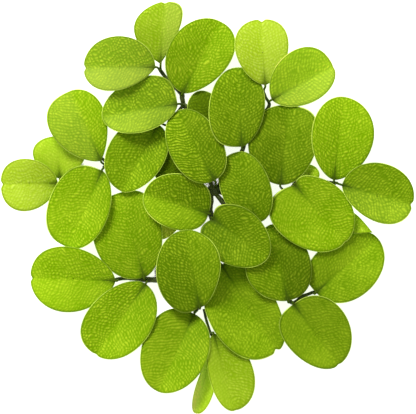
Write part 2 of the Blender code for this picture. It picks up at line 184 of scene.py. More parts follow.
# The leaves from the bottom of the pile to its top.
LEAVES = (
    Leaf((1.6, -26.9), (-2.4, -41.2), Half(2.4, 0.7, 0.42), Half(1.4, 1.0, 0.45), "south_tip",
         Tone.YOUNG, fold=0.5, tone_and_painted_light=(1.3, 1.7), relief=(0.5, 1.2), painted_sheen=(0.0, 0.5)),
    Leaf((1.3, -25.3), (5.7, -40.6), Half(5.65, 0.58, 0.46), Half(3.3, 0.6, 0.47), "south_tip",
         Tone.YOUNG, fold=0.34, notch=0.1, tone_and_painted_light=(1.0, 1.2), relief=(1.0, 0.5)),
    Leaf((-4.2, 0.3), (-9.4, -6.3), Half(1.6, 0.5, 0.5), Half(2.4, 0.5, 0.5), "crown", Tone.YELLOW,
         fold=0.3, tone_and_painted_light=(1.4, 1.6)),
    Leaf((-12.6, -14.1), (-17.4, 2.9), Half(7.7, 0.45, 0.42), Half(6.35, 0.57, 0.36), "southwest",
         Tone.BRIGHT, fold=0.18, tone_and_painted_light=(0.9, 0.8)),
    Leaf((-2.2, 3.3), (-10.4, 11.3), Half(4.0, 0.5, 0.5), Half(4.0, 0.5, 0.5), "crown", Tone.SHADED,
         fold=0.2),
    Leaf((3.8, 13.5), (-2.4, 22.9), Half(4.0, 0.5, 0.45), Half(3.4, 0.5, 0.5), "northeast_tip",
         Tone.SHADED, fold=0.2),
    Leaf((-29.4, 5.7), (-29.9, 14.2), Half(5.1, 0.66, 0.42), Half(5.4, 0.7, 0.57), "west_tip",
         Tone.YOUNG, fold=0.2, notch=0.1, tone_and_painted_light=(1.1, 1.15), relief=(0.6, 0.6)),
    Leaf((-29.8, 4.7), (-41.25, 4.5), Half(5.45, 0.6, 0.42), Half(5.05, 0.55, 0.42), "west_tip",
         Tone.PALE, fold=0.22, notch=0.4, tone_and_painted_light=(1.0, 1.15), relief=(0.8, 0.8)),
    Leaf((19.8, 4.9), (20.5, 8.5), Half(2.3, 0.45, 0.5), Half(2.3, 0.45, 0.5), "east_tip",
         Tone.YOUNG, fold=0.2, tone_and_painted_light=(1.2, 1.1)),
    Leaf((21.7, -17.1), (33.95, -6.1), Half(5.9, 0.3, 0.48), Half(6.65, 0.45, 0.48), "southeast",
         Tone.MATURE, fold=0.16, tone_and_painted_light=(1.1, 1.2), relief=(0.6, 0.7)),
    Leaf((25.6, -2.9), (33.0, -5.1), Half(2.95, 0.35, 1.1), Half(1.6, 0.35, 1.1), "east_tip",
         Tone.YOUNG, fold=0.2, tone_and_painted_light=(1.3, 1.1)),
    Leaf((2.8, -11.5), (13.95, -28.95), Half(5.6, 0.33, 0.46), Half(8.3, 0.4, 0.38), "south",
         Tone.MATURE, fold=0.26, notch=0.6, tone_and_painted_light=(1.0, 1.2), relief=(0.6, 0.8)),
    Leaf((16.1, -18.7), (12.6, -3.5), Half(6.95, 0.6, 0.7), Half(6.2, 0.4, 0.5), "southeast",
         Tone.MATURE, fold=0.26, tone_and_painted_light=(1.0, 0.6)),
    Leaf((17.2, -19.3), (26.3, -31.6), Half(7.05, 0.4, 0.48), Half(5.95, 0.3, 0.48), "southeast",
         Tone.MATURE, fold=0.14, notch=0.2, tone_and_painted_light=(0.95, 1.1), relief=(0.6, 0.5)),
    Leaf((14.6, 4.4), (16.2, 20.3), Half(7.3, 0.5, 0.45), Half(6.6, 0.5, 0.3), "east", Tone.MATURE,
         fold=0.16, tone_and_painted_light=(0.7, 0.8)),
    Leaf((17.4, 4.5), (27.5, -7.2), Half(6.3, 0.5, 0.5), Half(8.6, 0.18, 0.43), "east", Tone.BRIGHT,
         fold=0.14, notch=0.2, lobe=1.1, tone_and_painted_light=(0.95, 1.0)),
    Leaf((9.8, -3.3), (5.9, 11.0), Half(5.2, 0.5, 0.38), Half(4.75, 0.4, 0.48), "southeast",
         Tone.MATURE, fold=0.22, tone_and_painted_light=(0.8, 0.8)),
    Leaf((1.1, -2.3), (12.1, -10.2), Half(5.6, 0.35, 0.55), Half(6.1, 0.28, 0.5), "south",
         Tone.MATURE, fold=0.3, lobe=1.0, tone_and_painted_light=(0.8, 0.8), relief=(1.0, 1.2)),
    Leaf((0.3, -1.3), (-12.7, 2.5), Half(5.0, 0.4, 0.48), Half(6.2, 0.36, 0.46), "south",
         Tone.MATURE, fold=0.32, tone_and_painted_light=(1.2, 1.0), relief=(0.7, 1.2)),
    Leaf((-21.0, 7.3), (-27.7, -8.1), Half(4.9, 0.6, 0.5), Half(7.3, 0.32, 0.34), "west",
         Tone.BRIGHT, fold=0.22, tone_and_painted_light=(1.05, 1.15)),
    Leaf((-21.2, 9.2), (-27.4, 23.2), Half(6.85, 0.66, 0.38), Half(4.7, 0.85, 0.52), "west",
         Tone.BRIGHT, fold=0.16, painted_sheen=(0.1, 0.0)),
    Leaf((-9.8, 16.5), (-17.0, 3.0), Half(4.7, 0.5, 0.65), Half(6.7, 0.45, 0.43), "west",
         Tone.MATURE, fold=0.24, tone_and_painted_light=(1.1, 1.1)),
    Leaf((1.5, 5.3), (-6.1, 19.1), Half(5.4, 0.42, 0.46), Half(5.2, 0.42, 0.46), "crown",
         Tone.MATURE, fold=0.26, tone_and_painted_light=(1.0, 0.8), streaks=(0.45, 0.1), relief=(1.5, 1.1)),
    Leaf((6.9, 12.0), (6.1, 27.9), Half(6.3, 0.3, 0.45), Half(5.1, 0.66, 0.5), "northeast",
         Tone.MATURE, fold=0.26, tone_and_painted_light=(1.0, 0.8)),
    Leaf((-5.9, 20.5), (-21.0, 17.9), Half(4.4, 0.62, 0.52), Half(6.6, 0.28, 0.52), "north",
         Tone.MATURE, fold=0.32, tone_and_painted_light=(1.1, 1.2), relief=(0.7, 1.3), painted_sheen=(0.1, 0.03)),
    Leaf((-9.3, 28.6), (-8.4, 41.1), Half(5.8, 0.87, 0.75), Half(3.75, 1.0, 0.27), "north_tip",
         Tone.YOUNG, fold=0.38, notch=0.4, tone_and_painted_light=(1.0, 0.8), painted_sheen=(0.0, 0.18)),
    Leaf((-4.9, 22.7), (2.6, 37.1), Half(6.8, 0.46, 0.5), Half(5.6, 0.7, 0.42), "north_tip",
         Tone.BRIGHT, fold=0.22, tone_and_painted_light=(0.9, 0.9)),
    Leaf((-10.3, 27.8), (-24.7, 27.7), Half(4.7, 0.8, 0.48), Half(6.3, 0.5, 0.48), "north_tip",
         Tone.BRIGHT, fold=0.32, notch=0.4, tone_and_painted_light=(0.85, 0.95), relief=(0.9, 1.4),
         painted_sheen=(0.25, 0.08)),
    Leaf((11.55, 24.3), (10.85, 37.5), Half(5.7, 0.64, 0.42), Half(5.1, 0.68, 0.42),
         "northeast_tip", Tone.PALE, fold=0.34, notch=0.5, tone_and_painted_light=(1.0, 0.9), painted_sheen=(0.0, 0.1)),
    Leaf((12.9, 21.4), (25.3, 28.0), Half(6.6, 0.52, 0.38), Half(4.3, 0.62, 0.52), "northeast_tip",
         Tone.BRIGHT, fold=0.32, notch=0.1, tone_and_painted_light=(1.65, 1.2), streaks=(0.1, 0.25),
         relief=(0.8, 0.9), painted_sheen=(0.05, 0.17)),
    Leaf((25.3, 5.4), (27.2, 22.0), Half(5.6, 0.62, 0.5), Half(6.95, 0.62, 0.5), "east_tip",
         Tone.BRIGHT, fold=0.2, tone_and_painted_light=(1.2, 1.1)),
    Leaf((26.8, 4.4), (41.0, 0.4), Half(6.4, 0.48, 0.46), Half(5.3, 0.66, 0.42), "east_tip",
         Tone.MATURE, fold=0.36, notch=0.4, tone_and_painted_light=(1.1, 1.2), relief=(0.9, 0.9),
         painted_sheen=(0.0, 0.05)),
    Leaf((-2.6, -21.3), (-9.8, -36.7), Half(6.2, 0.48, 0.55), Half(7.1, 0.34, 0.45), "south",
         Tone.BRIGHT, fold=0.24, tone_and_painted_light=(0.9, 0.8), streaks=(0.1, 0.5)),
    Leaf((-1.5, -19.9), (-4.6, -4.5), Half(7.3, 0.33, 0.45), Half(5.9, 0.8, 0.62), "south",
         Tone.MATURE, fold=0.24, lobe=1.0, tone_and_painted_light=(0.8, 0.9), relief=(1.2, 0.9)),
    Leaf((-18.3, -14.7), (-35.35, -14.2), Half(6.6, 0.66, 0.52), Half(6.6, 0.62, 0.42), "southwest",
         Tone.BRIGHT, fold=0.22, notch=0.4, tone_and_painted_light=(1.2, 1.3), relief=(0.7, 1.0)),
    Leaf((-12.3, -15.3), (-22.3, -29.5), Half(6.45, 0.48, 0.5), Half(6.35, 0.55, 0.36), "southwest",
         Tone.BRIGHT, fold=0.26, notch=0.2, relief=(1.0, 1.2)),
)

# The root tufts: where each hangs, in mm, and which way it leans, in degrees.
TUFTS = (
    ((1.2, 3.3), 100.0),
    ((-2.4, 14.2), 60.0),
    ((-7.2, 24.4), 50.0),
    ((-14.6, 10.8), 150.0),
    ((-26.6, 9.6), 110.0),
    ((4.8, 8.0), 330.0),
    ((10.2, 16.6), 60.0),
    ((20.6, 2.4), 0.0),
    ((15.0, -14.6), 300.0),
    ((-1.0, -17.0), 100.0),
    ((-9.6, -13.4), 20.0),
)


# Shader maths


class Value:
    """A shader socket that can stand in a Python sum."""

    def __init__(self, paint: "Paint", socket: NodeSocket) -> None:
        """Wrap a socket of a material under way."""
        self.paint = paint
        self.socket = socket

    def maths(self, operation: str, first: object, second: object) -> "Value":
        """Add a Math node.

        Args:
            operation: Name of the node's operation.
            first: First number or socket.
            second: Second number or socket.

        Returns:
            The node's result.
        """
        return self.paint.add("ShaderNodeMath", {"operation": operation}, {0: first, 1: second})

    def __add__(self, other: object) -> "Value":
        """Add."""
        return self.maths("ADD", self, other)

    __radd__ = __add__

    def __sub__(self, other: object) -> "Value":
        """Subtract."""
        return self.maths("SUBTRACT", self, other)

    def __rsub__(self, other: object) -> "Value":
        """Subtract from a number."""
        return self.maths("SUBTRACT", other, self)

    def __mul__(self, other: object) -> "Value":
        """Multiply."""
        return self.maths("MULTIPLY", self, other)

    __rmul__ = __mul__

    def fade(self, start: float, end: float) -> "Value":
        """Run smoothly from 0 where the value is start to 1 where it is end."""
        low, high = sorted((start, end))
        return self.paint.add("ShaderNodeMapRange", {"interpolation_type": "SMOOTHSTEP"}, {
            "Value": self, "From Min": low, "From Max": high,
            "To Min": float(start > end), "To Max": float(start < end)})

    def clamp(self) -> "Value":
        """Keep the value between 0 and 1."""
        return self.paint.add("ShaderNodeClamp", {}, {"Value": self})


class Paint:
    """A material under way, with its Principled shader."""

    def __init__(self, name: str) -> None:
        """Start a material with the default shader and output.

        Args:
            name: Name of the material.
        """
        self.material = bpy.data.materials.new(name)
        self.material.use_nodes = True
        self.tree = self.material.node_tree
        self.shader = self.tree.nodes["Principled BSDF"]
        self.output = self.tree.nodes["Material Output"]

    def add(self, kind: str, settings: dict, inputs: dict, result: object = 0) -> Value:
        """Add a node.

        Args:
            kind: Type of the node.
            settings: Its settings, set before its sockets are filled.
            inputs: Numbers, colours or sockets by input name or index.
            result: Name or index of the output that is wanted.

        Returns:
            That output.
        """
        node = self.tree.nodes.new(kind)
        for name, setting in settings.items():
            setattr(node, name, setting)
        for key, value in inputs.items():
            self.fill(node.inputs[key], value)
        return Value(self, node.outputs[result])

    def fill(self, socket: NodeSocket, value: object) -> None:
        """Link a value to a socket, or set a number or colour on it.

        Args:
            socket: Input to fill.
            value: Socket, number or colour.
        """
        if isinstance(value, Value):
            self.tree.links.new(value.socket, socket)
        elif isinstance(value, tuple) and len(value) == 3 and socket.type == "RGBA":
            socket.default_value = (*value, 1.0)
        else:
            socket.default_value = value

    def put(self, name: str, value: object) -> None:
        """Fill an input of the Principled shader."""
        self.fill(self.shader.inputs[name], value)

    def attribute(self, name: str) -> Value:
        """Read a number that the mesh carries at its points."""
        return self.add("ShaderNodeAttribute", {"attribute_name": name}, {}, "Fac")

    def noise(self, grain_mm: float, detail: float = 2.0) -> Value:
        """Give cloudy noise from 0 to 1 with a grain of that size."""
        place = self.add("ShaderNodeTexCoord", {}, {}, "Object")
        return self.add("ShaderNodeTexNoise", {},
                        {"Vector": place, "Scale": 1.0 / (grain_mm * MM), "Detail": detail}, "Fac")

    def blend(self, share: object, first: object, second: object) -> Value:
        """Mix two colours, each a colour or a socket."""
        return self.add("ShaderNodeMix", {"data_type": "RGBA"},
                        {MIX_SHARE: share, MIX_FIRST: first, MIX_SECOND: second}, MIX_RESULT)

    def brighten(self, colour: Value, factor: Value) -> Value:
        """Multiply a colour by a number."""
        return self.add("ShaderNodeVectorMath", {"operation": "SCALE"},
                        {0: colour, "Scale": factor})

    def cap(self, colour: Value, most: float) -> Value:
        """Keep each part of a colour at or under a number."""
        return self.add("ShaderNodeVectorMath", {"operation": "MINIMUM"},
                        {0: colour, 1: (most, most, most)})

    def emboss(self, height: Value, depth_mm: float, strength: float) -> None:
        """Give the surface a fine relief."""
        self.put("Normal", self.add("ShaderNodeBump", {}, {
            "Height": height, "Distance": depth_mm * MM, "Strength": strength}))


# Finishes


@dataclass(frozen=True)
class LeafFinish:
    """Leaf tissue: colours of its valleys, bump tops and the light that comes through.

    The darker valleys and paler bump tops are partly the tissue's own dotted pattern and partly
    painted shade and painted highlight. The dark washes beside the midrib are painted shade in
    the fold's valley, the narrower one also a darker midrib line. Each wash has the distance in
    mm where it ends, the shares of the length where it ends and up to which it is full, and its
    strength.
    """

    tone: Tone
    valley: tuple
    crest: tuple
    glow: tuple
    grain_mm: float = 0.35
    grain_detail: float = 3.0
    patch_mm: float = 4.5
    crest_weight: float = 1.1
    grain_weight: float = 0.45
    patch_weight: float = 0.5
    weight_offset: float = 0.5
    washes: tuple = ((1.4, 0.32, 0.02, 0.4), (0.4, 0.7, 0.1, 0.15))
    under_share: float = 0.6
    dark_rim: tuple = (0.42, 0.2)
    dark_rim_share: float = 0.4
    pale_rim_and_highlight: tuple = (0.18, 0.08)
    pale_rim_and_highlight_share: float = 0.3
    pale_rim_and_highlight_change: float = 0.6
    lit_patch_mm: float = 6.0
    lit_patch_detail: float = 1.0
    lit_range: tuple = (0.38, 0.6)
    roughness: float = 0.42
    roughness_change: float = 0.2
    specular: float = 0.02
    relief_mm: float = 0.02
    relief_strength: float = 0.4
    through_share: float = 0.14

    def make(self) -> Material:
        """Make the material of a leaf.

        Returns:
            The material, with light passing through the thin blade.
        """
        paint = Paint(self.tone.value)
        grain = paint.noise(self.grain_mm, self.grain_detail)
        paint.put("Base Color", self.colour(paint, grain))
        paint.put("Roughness", grain * self.roughness_change + self.roughness)
        paint.put("Specular IOR Level", self.specular)
        paint.emboss(grain, self.relief_mm, self.relief_strength)
        surface = Value(paint, paint.shader.outputs["BSDF"])
        through = paint.add("ShaderNodeBsdfTranslucent", {}, {"Color": self.glow})
        both = paint.add("ShaderNodeMixShader", {}, {0: self.through_share, 1: surface, 2: through})
        paint.fill(paint.output.inputs["Surface"], both)
        return paint.material

    def colour(self, paint: Paint, grain: Value) -> Value:
        """Mix the colour of the tissue from what the mesh says at its points.

        Args:
            paint: The material under way.
            grain: Its fine noise.

        Returns:
            The colour.
        """
        # Darker valley colour and paler crest colour follow the bumps: partly the dotted pattern,
        # partly painted shade in the valleys and painted highlight on the tops.
        share = (paint.attribute("crest") * self.crest_weight + grain * self.grain_weight
                 + paint.noise(self.patch_mm) * self.patch_weight - self.weight_offset)
        colour = paint.blend(share.clamp(), self.valley, self.crest)
        rib, along = paint.attribute("rib"), paint.attribute("along")
        # Painted shade in the fold's valley near the base, with a thin darker midrib line.
        for width, end, full, strength in self.washes:
            wash = rib.fade(width, 0.0) * along.fade(end, full) * strength
            colour = paint.blend(wash, colour, MIDRIB_AND_SHADE_COLOUR)
        # Painted sheen: lit halves are paled towards a whitish colour.
        colour = paint.blend(paint.attribute("painted_sheen"), colour, PAINTED_SHEEN_COLOUR)
        colour = paint.blend(paint.attribute("under") * self.under_share, colour, UNDER_COLOUR)
        margin = paint.attribute("margin")
        dark = margin.fade(*self.dark_rim) * self.dark_rim_share
        colour = paint.blend(dark, colour, DARK_RIM)
        # Pale rim: partly the margin's own pale edge and partly a painted highlight where the edge
        # catches light, in patches.
        lit = paint.noise(self.lit_patch_mm, self.lit_patch_detail).fade(*self.lit_range)
        lit = lit * self.pale_rim_and_highlight_change + self.pale_rim_and_highlight_share
        colour = paint.blend(margin.fade(*self.pale_rim_and_highlight) * lit, colour, PALE_RIM_AND_HIGHLIGHT)
        # Each half is brightened or darkened by painted light and shade, partly its own tone, and
        # is darker towards the base.
        colour = paint.cap(paint.brighten(colour, paint.attribute("tone_and_painted_light")), BRIGHTEST)
        return paint.blend(paint.attribute("woody").clamp(), colour, WOODY_COLOUR)


LEAF_FINISHES = (
    LeafFinish(Tone.PALE, (0.40, 0.58, 0.015), (0.62, 0.79, 0.09), (0.6, 0.82, 0.04)),
    LeafFinish(Tone.YOUNG, (0.30, 0.48, 0.008), (0.54, 0.70, 0.05), (0.5, 0.78, 0.015)),
    LeafFinish(Tone.YELLOW, (0.32, 0.40, 0.02), (0.52, 0.56, 0.06), (0.5, 0.55, 0.04)),
    LeafFinish(Tone.BRIGHT, (0.20, 0.38, 0.001), (0.52, 0.70, 0.025), (0.4, 0.65, 0.002)),
    LeafFinish(Tone.MATURE, (0.14, 0.27, 0.001), (0.43, 0.60, 0.02), (0.32, 0.55, 0.002)),
    LeafFinish(Tone.SHADED, (0.07, 0.13, 0.001), (0.15, 0.24, 0.003), (0.14, 0.2, 0.002)),
)


@dataclass(frozen=True)
class FibreFinish:
    """Stem or root tissue: two colours in streaks, with a matt surface."""

    slot: str
    dark: tuple
    light: tuple
    grain_mm: float
    roughness: float
    grain_detail: float = 3.0
    patch_scale: float = 8.0
    light_range: tuple = (0.75, 1.25)
    roughness_change: float = 0.2
    specular: float = 0.35
    relief_mm: float = 0.03
    relief_strength: float = 0.5

    def make(self) -> Material:
        """Make the material.

        Returns:
            The material.
        """
        paint = Paint(self.slot)
        grain = paint.noise(self.grain_mm, self.grain_detail)
        patches = paint.noise(self.grain_mm * self.patch_scale)
        share = (grain + patches).fade(*self.light_range)
        paint.put("Base Color", paint.blend(share, self.dark, self.light))
        smoothest = self.roughness - self.roughness_change / 2
        paint.put("Roughness", grain * self.roughness_change + smoothest)
        paint.put("Specular IOR Level", self.specular)
        paint.emboss(grain, self.relief_mm, self.relief_strength)
        return paint.material


STEM_FINISH = FibreFinish("stem", (0.022, 0.034, 0.003), (0.085, 0.115, 0.012), 0.25, 0.5)
ROOT_FINISH = FibreFinish("roots", (0.045, 0.035, 0.012), (0.16, 0.13, 0.045), 0.3, 0.75)


# Shapes


def smooth(share: Array) -> Array:
    """Ease a share that is first kept between 0 and 1."""
    kept = np.clip(share, 0.0, 1.0)
    return kept * kept * (3 - 2 * kept)


def by_half(pair: tuple, across: Array) -> Array:
    """Blend from the right half's value to the left half's over the midrib."""
    left, right = pair
    return right + (left - right) * smooth(0.5 + across / 2)


def scatter(key: Array) -> Array:
    """Turn numbers into even looking shares from 0 to 1, the same each time."""
    wild = np.sin(key * SCATTER_TURN) * SCATTER_SPREAD
    return wild - np.floor(wild)


def cloud(x: Array, y: Array, grain: float, seed: Array) -> Array:
    """Give smooth random shares from 0 to 1.

    Args:
        x: Places one way.
        y: Places the other way.
        grain: Size of the clouds.
        seed: Numbers that tell one cloud from another.

    Returns:
        The share at each place.
    """
    x, y = x / grain, y / grain
    left, low = np.floor(x), np.floor(y)
    across, up = smooth(x - left), smooth(y - low)
    rows = []
    for step in (0.0, 1.0):
        key = left * COLUMN_KEY + (low + step) * LINE_KEY + seed
        near = scatter(key)
        rows.append(near + (scatter(key + COLUMN_KEY) - near) * across)
    return rows[0] + (rows[1] - rows[0]) * up


def unit(vector: Array) -> Array:
    """Scale vectors to length 1."""
    return vector / np.linalg.norm(vector, axis=-1, keepdims=True)


def curve(points: tuple, steps: int) -> Array:
    """Round a chain of points off with a Catmull-Rom curve.

    Args:
        points: Points that the curve runs through.
        steps: Number of steps from each of them to the next.

    Returns:
        The points of the curve.
    """
    chain = np.array(points, float)
    padded = np.vstack((2 * chain[0] - chain[1], chain, 2 * chain[-1] - chain[-2]))
    route = []
    for before, start, end, after in zip(padded, padded[1:], padded[2:], padded[3:]):
        slope_in, slope_out = (end - before) / 2, (after - start) / 2
        for t in np.arange(steps) / steps:
            route.append((2 * t ** 3 - 3 * t ** 2 + 1) * start
                         + (t ** 3 - 2 * t ** 2 + t) * slope_in
                         + (3 * t ** 2 - 2 * t ** 3) * end + (t ** 3 - t ** 2) * slope_out)
    return np.vstack((route, chain[-1]))


def stem_route(stem: Stem, steps: int = 8) -> Array:
    """Give points along a stem piece's centre line, in mm."""
    return curve(tuple((x, y, STEM_HEIGHT) for x, y in stem.points), steps)


def read_points(data: Mesh) -> Array:
    """Give the points of a mesh as rows."""
    return np.array([vertex.co for vertex in data.vertices])


def place_points(data: Mesh, points: Array) -> None:
    """Move the points of a mesh to places in mm from the plant's middle."""
    data.vertices.foreach_set("co", ((points + MIDDLE) * MM).ravel())


def note(item: Object, facts: dict) -> None:
    """Store numbers for the material at the points of a mesh.

    Args:
        item: Object that carries the mesh.
        facts: Numbers by name, one for each point.
    """
    for name, numbers in facts.items():
        layer = item.data.attributes.new(name, "FLOAT", "POINT")
        layer.data.foreach_set("value", np.asarray(numbers, np.float32))


def deselect() -> None:
    """Deselect everything."""
    bpy.ops.object.select_all(action="DESELECT")


def select(*items: Object) -> None:
    """Select only these objects.

    Args:
        items: The objects, of which the first becomes the active one.
    """
    deselect()
    for item in items:
        item.select_set(True)
    bpy.context.view_layer.objects.active = items[0]


def finish_piece(item: Object, name: str, node: str, material: Material) -> Object:
    """Name a finished piece, dress it, hang it on the plant's body and hide the solid it stands
    for.

    Args:
        item: The piece.
        name: Its name.
        node: Node of the solid.
        material: Its material.

    Returns:
        The piece.
    """
    item.name = name
    item.data.name = name
    item.data.materials.append(material)
    select(item)
    bpy.ops.object.shade_smooth()
    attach(item, BODY)
    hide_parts(node)
    return item


class Tubes:
    """Round strands gathered into one mesh."""

    def __init__(self, sides: int) -> None:
        """Start with no strand.

        Args:
            sides: Number of sides that each strand will have.
        """
        self.sides = sides
        self.points = []
        self.faces = []
        self.count = 0

    def strand(self, path: Array, radii: Array, reference: Array) -> None:
        """Add a strand.

        Args:
            path: Points of its centre line in mm.
            radii: Its radius at each of them.
            reference: A direction that the strand never follows.
        """
        ahead = unit(np.gradient(path, axis=0))
        side = unit(reference - ahead * (ahead @ reference)[:, None])
        above = np.cross(ahead, side)
        turns = np.arange(self.sides) * math.tau / self.sides
        ring = (np.cos(turns)[None, :, None] * side[:, None, :]
                + np.sin(turns)[None, :, None] * above[:, None, :])
        self.points.append((path[:, None, :] + ring * radii[:, None, None]).reshape(-1, 3))
        for row in range(len(path) - 1):
            near = self.count + row * self.sides
            far = near + self.sides
            for i in range(self.sides):
                j = (i + 1) % self.sides
                self.faces.append((near + i, near + j, far + j, far + i))
        first = self.count
        last = first + (len(path) - 1) * self.sides
        self.faces.append(tuple(range(first + self.sides - 1, first - 1, -1)))
        self.faces.append(tuple(range(last, last + self.sides)))
        self.count += len(path) * self.sides

    def make(self) -> Object:
        """Make the strands an object.

        Returns:
            The object, in metres and in place.
        """
        data = bpy.data.meshes.new("strands")
        points = (np.vstack(self.points) + MIDDLE) * MM
        data.from_pydata(points.tolist(), [], self.faces)
        data.update()
        item = bpy.data.objects.new("strands", data)
        bpy.context.scene.collection.objects.link(item)
        return item


@dataclass
class Blade:
    """One leaf with its stalk, laid as its solid lies. Sizes are in mm."""

    number: int
    leaf: Leaf

    # Its grid of points.
    cell: float = 0.15
    under_cell: float = 0.3

    # Its rows of bumps.
    row_spacing: float = 0.64
    bump_spacing: float = 0.7
    bump_height: float = 0.12
    bump_level: float = 0.35
    bump_sink: float = 0.4
    under_bumps: float = 0.4
    least_bump: float = 0.5
    sweep: float = 0.36
    curl: float = 0.03
    slant: float = 1.1
    ripple: float = 0.9
    bend_grain: float = 1.4
    drift_grain: float = 1.1
    streak_grain: float = 2.6
    streak_change: float = 0.6
    streak_limits: tuple = (0.05, 0.95)
    ridge_power: float = 0.7
    leaf_seed: float = 1.7
    half_seed: float = 2.4
    drift_seed: float = 5.0
    streak_seed: float = 9.0

    # How near the margin, midrib and base they die away.
    bare_margin: float = 0.5
    bare_midrib: float = 0.3
    bare_base: float = 1.5

    # Its painted shade at the base, lighter towards the tip, and its brown base.
    base_shade: float = 0.84
    tip_glow: float = 0.26
    woody_reach: float = 1.2
    woody_width: float = 0.7

    # Its body, wavy margins and midrib.
    arch: float = 0.12
    wave: float = 0.1
    wave_turn: float = 5.0
    wave_shift: float = 1.9
    rim_half: float = 0.045
    body_half: float = 0.12
    body_margin: float = 0.8
    midrib_width: float = 0.2
    midrib_reach: float = 0.6
    midrib_groove: float = 0.03
    midrib_keel: float = 0.16

    # Its stalk, which runs on inside the keel.
    stalk_radius: float = 0.22
    stalk_sides: int = 10
    stalk_steps: int = 5
    stalk_arch: float = 0.15
    stalk_sink: float = 0.12
    stalk_taper: float = 0.72
    taper_from: float = 0.25
    stalk_swell: float = 0.35
    swell_reach: float = 0.12
    stalk_green: float = 0.7

    def __post_init__(self) -> None:
        """Work out the leaf's axes and how its solid lies."""
        span = np.array(self.leaf.tip) - np.array(self.leaf.base)
        self.length = float(np.hypot(*span))
        self.base = np.array((*self.leaf.base, 0.0))
        self.heading = np.array((*span, 0.0)) / self.length
        self.left = np.cross(UP, self.heading)
        self.node = f"leaf_{self.number:02d}"
        self.lift, self.pitch, self.roll = self.read_pose()

    def plan(self, along: Array, side: Array) -> tuple:
        """Give how far forward and how far left of the base places lie, in mm.

        Args:
            along: Shares of the length.
            side: Shares of the half width, negative on the right.

        Returns:
            Two arrays, forward and across.
        """
        leaf = self.leaf
        reach = np.where(side > 0, leaf.left.reach(along), leaf.right.reach(along))
        width = np.where(side > 0, leaf.left.width, leaf.right.width)
        across = side * reach
        bay = np.where(along > 0.5, leaf.notch * np.exp(-(across / NOTCH_WIDTH) ** 2), 0.0)
        share = np.minimum(1.0, np.abs(across) / width)
        ear = leaf.lobe * np.sin(math.pi * share) * (1 - along) ** LOBE_POWER
        return along * self.length - bay - ear, across

    def lay(self, forward: Array, across: Array, height: Array) -> Array:
        """Give the points at places on the leaf and heights over the surface, in mm."""
        return (self.base + np.outer(forward, self.heading) + np.outer(across, self.left)
                + np.outer(height, UP))

    def rise(self, along: Array, across: Array) -> Array:
        """Give the height that the fold and the drooping tip add."""
        folded = self.leaf.fold * (np.hypot(across, FOLD_ROUNDING) - FOLD_ROUNDING)
        return folded - TIP_DROOP * along ** 3

    def read_pose(self) -> tuple:
        """Read how the leaf lies from the margin of its solid.

        Returns:
            The lift of its base in mm, and its slopes forward and to the left.
        """
        points = read_points(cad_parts[self.node].data) / MM - MIDDLE
        along = np.repeat(np.array(POSE_STATIONS), 2)
        side = np.tile((1.0, -1.0), len(POSE_STATIONS))
        forward, across = self.plan(along, side)
        places = self.lay(forward, across, np.zeros_like(forward))
        gaps = np.linalg.norm(points[None, :, :2] - places[:, None, :2], axis=2)
        heights = points[gaps.argmin(axis=1), 2] - LEAF_HEIGHT - self.rise(along, across)
        known = np.column_stack((np.ones_like(forward), forward, across))
        return tuple(np.linalg.lstsq(known, heights, rcond=None)[0])

    def quilt(self, forward: Array, across: Array) -> Array:
        """Raise bumps in rows that leave the midrib at a slant and bend towards the tip.

        Args:
            forward: Places forward of the base, in mm.
            across: Places to the left of the midrib, in mm.

        Returns:
            The height of the bumps there as shares from 0 to 1.
        """
        reach = np.abs(across)
        seed = self.number * self.leaf_seed + np.where(across > 0, 0.0, self.half_seed)
        bend = self.ripple * (cloud(forward, reach, self.bend_grain, seed) - 0.5)
        drift = cloud(forward, reach, self.drift_grain, seed + self.drift_seed)
        drift = self.ripple * (drift - 0.5)
        row = (forward + bend - self.sweep * reach - self.curl * reach ** 2) / self.row_spacing
        index = np.floor(row + 0.5)
        ridge = np.cos(math.pi * (row - index)) ** 2
        step = (reach + drift) * self.slant / self.bump_spacing + scatter(index * ROW_KEY + seed)
        dots = 0.5 + 0.5 * np.cos(math.tau * step)
        lively = scatter(index * BUMP_ROW_KEY + np.floor(step + 0.5) * BUMP_KEY + seed)
        lively = self.least_bump + (1 - self.least_bump) * lively
        change = cloud(forward, reach, self.streak_grain, seed + self.streak_seed) - 0.5
        run = np.where(across > 0, *self.leaf.streaks) + self.streak_change * change
        streak = np.clip(run, *self.streak_limits)
        return ridge ** self.ridge_power * (streak + (1 - streak) * dots) * lively

    def sheet(self, cell: float, under: bool) -> Object:
        """Shape one face of the blade from a grid.

        Args:
            cell: Size of the grid's cells in mm.
            under: Whether it is the underside.

        Returns:
            The sheet, in metres and in place.
        """
        leaf = self.leaf
        breadth = leaf.left.width + leaf.right.width
        rows, columns = (2 * round(size / cell / 2) for size in (self.length, breadth))
        deselect()
        bpy.ops.mesh.primitive_grid_add(x_subdivisions=rows, y_subdivisions=columns, size=2.0,
                                        calc_uvs=False)
        item = bpy.context.object

        # The grid becomes a disc with the base at x = -1 and the tip at x = 1, and then the leaf.
        u, v = read_points(item.data)[:, :2].T
        x, y = u * np.sqrt(1 - v * v / 2), v * np.sqrt(1 - u * u / 2)
        chord = np.sqrt(np.maximum(1 - x * x, 0.0))
        side = np.clip(np.divide(y, chord, out=np.zeros_like(y), where=chord > TINY), -1, 1)
        along = np.clip((1 + x) / 2, 0.0, 1.0)
        forward, across = self.plan(along, side)
        radius = np.hypot(x, y)
        width = np.where(y > 0, leaf.left.width, leaf.right.width)
        spread = np.hypot(x * self.length / 2, y * width) / np.maximum(radius, TINY)
        margin = (1 - np.minimum(radius, 1.0)) * spread

